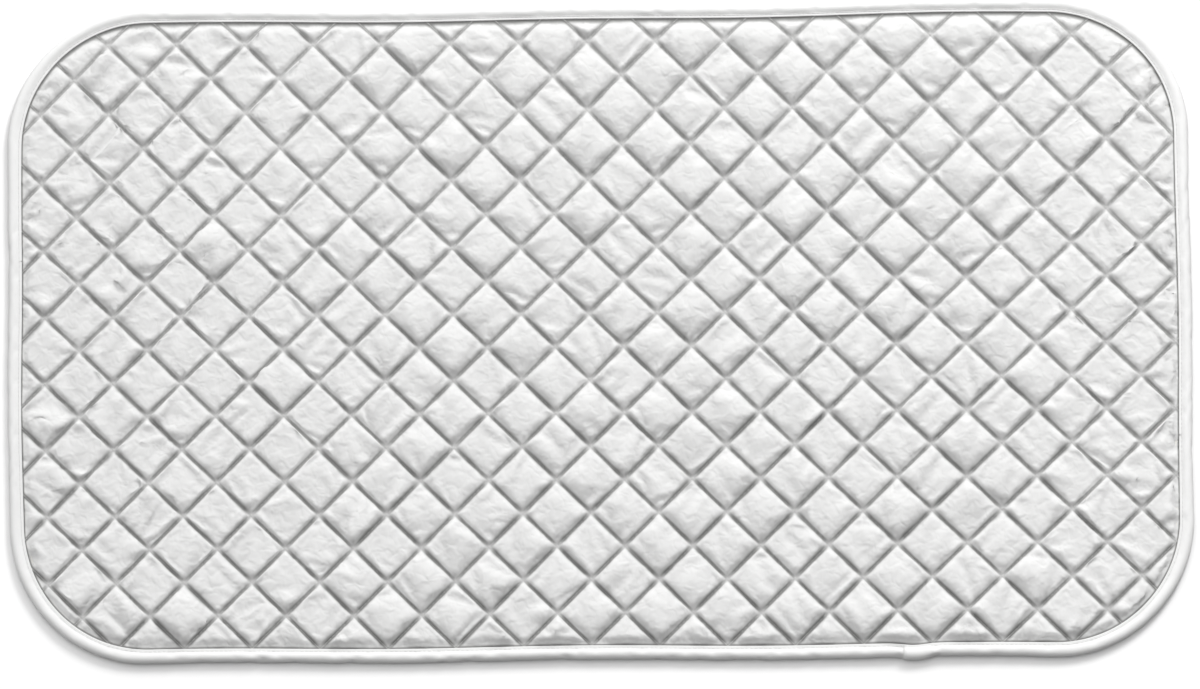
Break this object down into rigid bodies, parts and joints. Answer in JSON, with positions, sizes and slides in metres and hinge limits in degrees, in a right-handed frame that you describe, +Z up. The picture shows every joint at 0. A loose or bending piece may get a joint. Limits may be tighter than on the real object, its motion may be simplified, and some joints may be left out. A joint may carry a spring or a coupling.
{
  "type": "ironing pad",
  "caption": "Rectangular quilted ironing pad with rounded corners: wadding between two white cloths, sewn through in diamonds and bound at the edge, to lay on a table and iron on.",
  "frame": {"origin": "on the table, under the middle of the pad", "axes": "+X along the pad's length, +Y across it towards its far long edge, +Z up out of the face cloth"},
  "size_m": [0.85, 0.48, 0.0093],
  "materials": {
    "cloth": "smooth white cotton cloth with a slight sheen",
    "wadding": "matt white fibre wadding",
    "tape": "plain woven white binding tape",
    "thread": "white polyester sewing thread"
  },
  "bodies": {
    "root": {"face_cloth": "cloth", "backing_cloth": "cloth", "wadding": "wadding", "edge_binding": "tape", "needle_thread_rising": "thread", "needle_thread_falling": "thread", "bobbin_thread_rising": "thread", "bobbin_thread_falling": "thread", "binding_needle_thread": "thread", "binding_bobbin_thread": "thread"}
  },
  "joints": []
}
